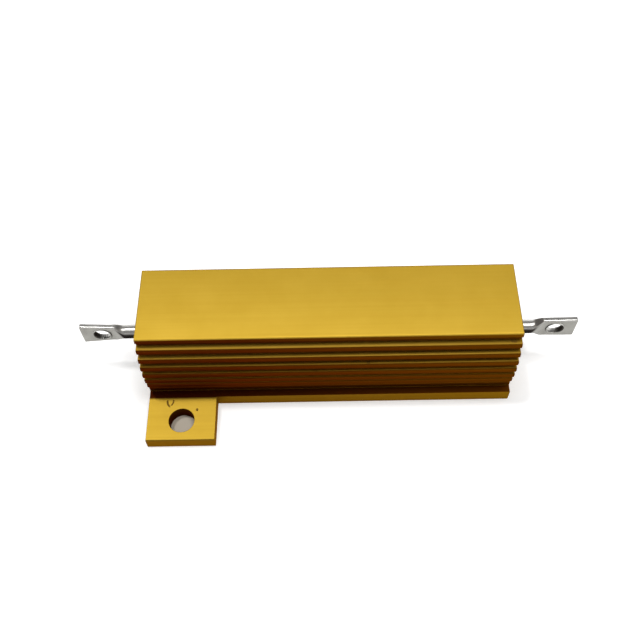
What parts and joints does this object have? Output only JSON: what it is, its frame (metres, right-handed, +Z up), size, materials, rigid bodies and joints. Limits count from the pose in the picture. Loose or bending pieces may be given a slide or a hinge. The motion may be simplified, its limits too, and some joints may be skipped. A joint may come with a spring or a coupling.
{
  "type": "aluminium housed power resistor",
  "caption": "Gold anodised, finned aluminium housing on two diagonal drilled lugs, with a wound ceramic core potted in its bore and a flattened terminal with an eye at each end.",
  "frame": {"origin": "middle of the mounting face, under the middle of the housing", "axes": "+X along the housing through the terminals, +Y across it towards the back lug, +Z up from the mounting face"},
  "size_m": [0.068, 0.0278, 0.0145],
  "materials": {
    "gold_anodised_aluminium": "satin gold anodised, fine extrusion lines, worn edges",
    "potting_compound": "matt, slightly grainy, dished at the ends",
    "steatite": "unglazed",
    "resistance_alloy": "bright drawn wire",
    "plated_steel": "dull plated",
    "tinned_steel": "dull tin plate, soft shine"
  },
  "bodies": {
    "root": {"housing": "gold_anodised_aluminium", "potting": "potting_compound", "ceramic_core": "steatite", "resistance_wire": "resistance_alloy", "end_cap_left": "plated_steel", "end_cap_right": "plated_steel", "terminal_left": "tinned_steel", "terminal_right": "tinned_steel"}
  },
  "joints": []
}
